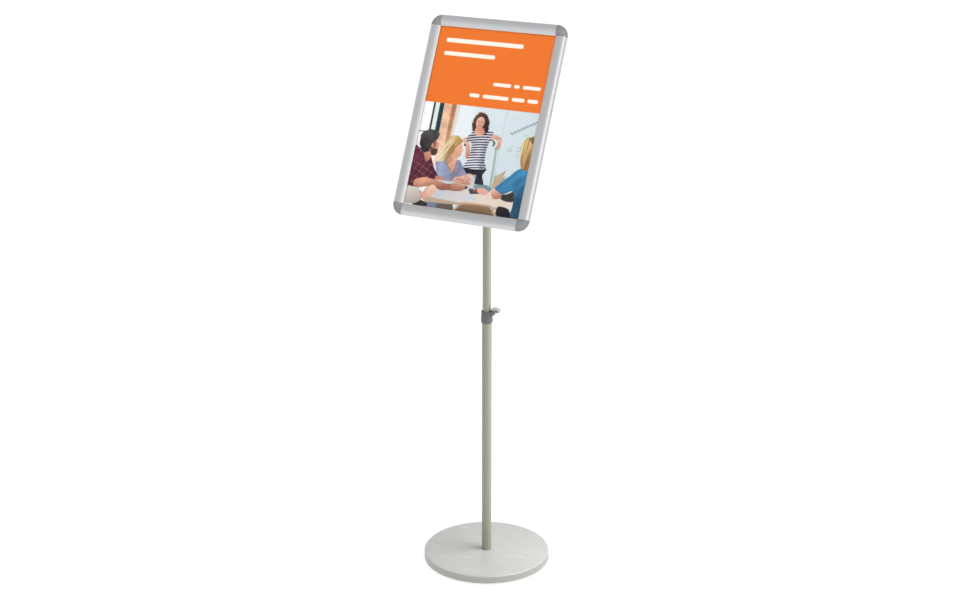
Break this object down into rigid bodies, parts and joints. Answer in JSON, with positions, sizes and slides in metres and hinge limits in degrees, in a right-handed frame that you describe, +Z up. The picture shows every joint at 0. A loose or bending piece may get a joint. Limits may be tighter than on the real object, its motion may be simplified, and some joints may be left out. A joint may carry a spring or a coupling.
{
  "type": "sign stand",
  "caption": "Floor sign stand: a snap frame for a poster tilts and turns on a telescopic mast with a quick-release clamp, over a weighted round base.",
  "frame": {"origin": "on the floor, on the mast's axis at the middle of the base", "axes": "+Z up along the mast; the sign's front faces -Y and leans back towards +Y; +X to the right of someone reading the sign"},
  "size_m": [0.3268, 0.29, 1.2498],
  "materials": {
    "base_paint": "satin light grey powder coat with a faint brushed streak",
    "tube_paint": "satin grey-beige powder coat",
    "cast_weight": "as cast, dull",
    "zinc_steel": "bright zinc plating",
    "foot_rubber": "matt black",
    "collar_plastic": "fine moulded texture, dark grey",
    "black_plastic": "fine moulded texture, black",
    "lever_plastic": "satin light grey",
    "rail_aluminium": "satin clear anodised",
    "corner_plastic": "fine moulded texture, mid grey",
    "backing_board": "smooth, off-white",
    "printed_paper": "matt print: an orange panel over a flat illustration",
    "clear_film": "clear, low glare"
  },
  "bodies": {
    "base": {"base_cover": "base_paint", "base_weight": "cast_weight", "base_bottom_plate": "zinc_steel", "foot_pad_front_right": "foot_rubber", "foot_pad_rear_right": "foot_rubber", "foot_pad_rear_left": "foot_rubber", "foot_pad_front_left": "foot_rubber", "base_washer": "zinc_steel", "base_bolt": "zinc_steel", "tube_foot_insert": "zinc_steel", "lower_tube": "tube_paint", "collar_bush": "black_plastic", "clamp_collar": "collar_plastic", "brake_shoe": "black_plastic", "lever_pin": "zinc_steel"},
    "clamp_lever": {"cam_lever": "lever_plastic"},
    "slider": {"glide_plug": "black_plastic"},
    "mast": {"upper_tube": "tube_paint", "head_knuckle": "black_plastic"},
    "head": {"tilt_yoke": "collar_plastic", "friction_washer_right": "black_plastic", "friction_washer_left": "black_plastic", "knob_washer": "zinc_steel", "tilt_bolt": "zinc_steel", "pivot_washer": "zinc_steel", "pivot_nut": "zinc_steel", "pivot_bolt": "zinc_steel"},
    "knob": {"tilt_knob": "black_plastic"},
    "sign": {"swivel_hub": "collar_plastic", "mount_plate": "zinc_steel", "mount_screw_low_left": "zinc_steel", "mount_screw_high_left": "zinc_steel", "mount_screw_low_right": "zinc_steel", "mount_screw_high_right": "zinc_steel", "backing_panel": "backing_board", "poster": "printed_paper", "cover_sheet": "clear_film", "rail_base_bottom": "rail_aluminium", "rail_base_right": "rail_aluminium", "rail_base_top": "rail_aluminium", "rail_base_left": "rail_aluminium", "snap_spring_bottom": "zinc_steel", "snap_spring_right": "zinc_steel", "snap_spring_top": "zinc_steel", "snap_spring_left": "zinc_steel", "corner_cap_low_right": "corner_plastic", "corner_cap_high_right": "corner_plastic", "corner_cap_high_left": "corner_plastic", "corner_cap_low_left": "corner_plastic", "corner_key_low_right": "zinc_steel", "corner_key_high_right": "zinc_steel", "corner_key_high_left": "zinc_steel", "corner_key_low_left": "zinc_steel"},
    "rail_bottom": {"snap_rail_bottom": "rail_aluminium"},
    "rail_right": {"snap_rail_right": "rail_aluminium"},
    "rail_top": {"snap_rail_top": "rail_aluminium"},
    "rail_left": {"snap_rail_left": "rail_aluminium"}
  },
  "joints": [
    {"name": "height_slide", "type": "slide", "parent": "base", "child": "slider", "axis": [0, 0, 1], "range_m": [-0.255, 0.15]},
    {"name": "mast_turn", "type": "hinge", "parent": "slider", "child": "mast", "pos_m": [0, 0, 0.6], "axis": [0, 0, 1], "continuous": true},
    {"name": "lever_swing", "type": "hinge", "parent": "base", "child": "clamp_lever", "pos_m": [0.0185, 0, 0.6042], "axis": [0, 1, 0], "range_deg": [0, 110]},
    {"name": "sign_tilt", "type": "hinge", "parent": "mast", "child": "head", "pos_m": [0, 0, 1.029], "axis": [-1, 0, 0], "range_deg": [-26, 54]},
    {"name": "knob_turn", "type": "hinge", "parent": "head", "child": "knob", "pos_m": [0.0195, 0, 1.029], "axis": [1, 0, 0], "continuous": true},
    {"name": "sign_turn", "type": "hinge", "parent": "head", "child": "sign", "pos_m": [0, -0.03728, 1.04724], "axis": [0, -0.8982, 0.4396], "range_deg": [-90, 90]},
    {"name": "rail_open_bottom", "type": "hinge", "parent": "sign", "child": "rail_bottom", "pos_m": [0, -0.13562, 0.84632], "axis": [1, 0, 0], "range_deg": [0, 90]},
    {"name": "rail_open_right", "type": "hinge", "parent": "sign", "child": "rail_right", "pos_m": [0.1622, -0.03728, 1.04724], "axis": [0, 0.4396, 0.8982], "range_deg": [0, 90]},
    {"name": "rail_open_top", "type": "hinge", "parent": "sign", "child": "rail_top", "pos_m": [0, 0.06107, 1.24817], "axis": [-1, 0, 0], "range_deg": [0, 90]},
    {"name": "rail_open_left", "type": "hinge", "parent": "sign", "child": "rail_left", "pos_m": [-0.1622, -0.03728, 1.04724], "axis": [0, -0.4396, -0.8982], "range_deg": [0, 90]}
  ]
}
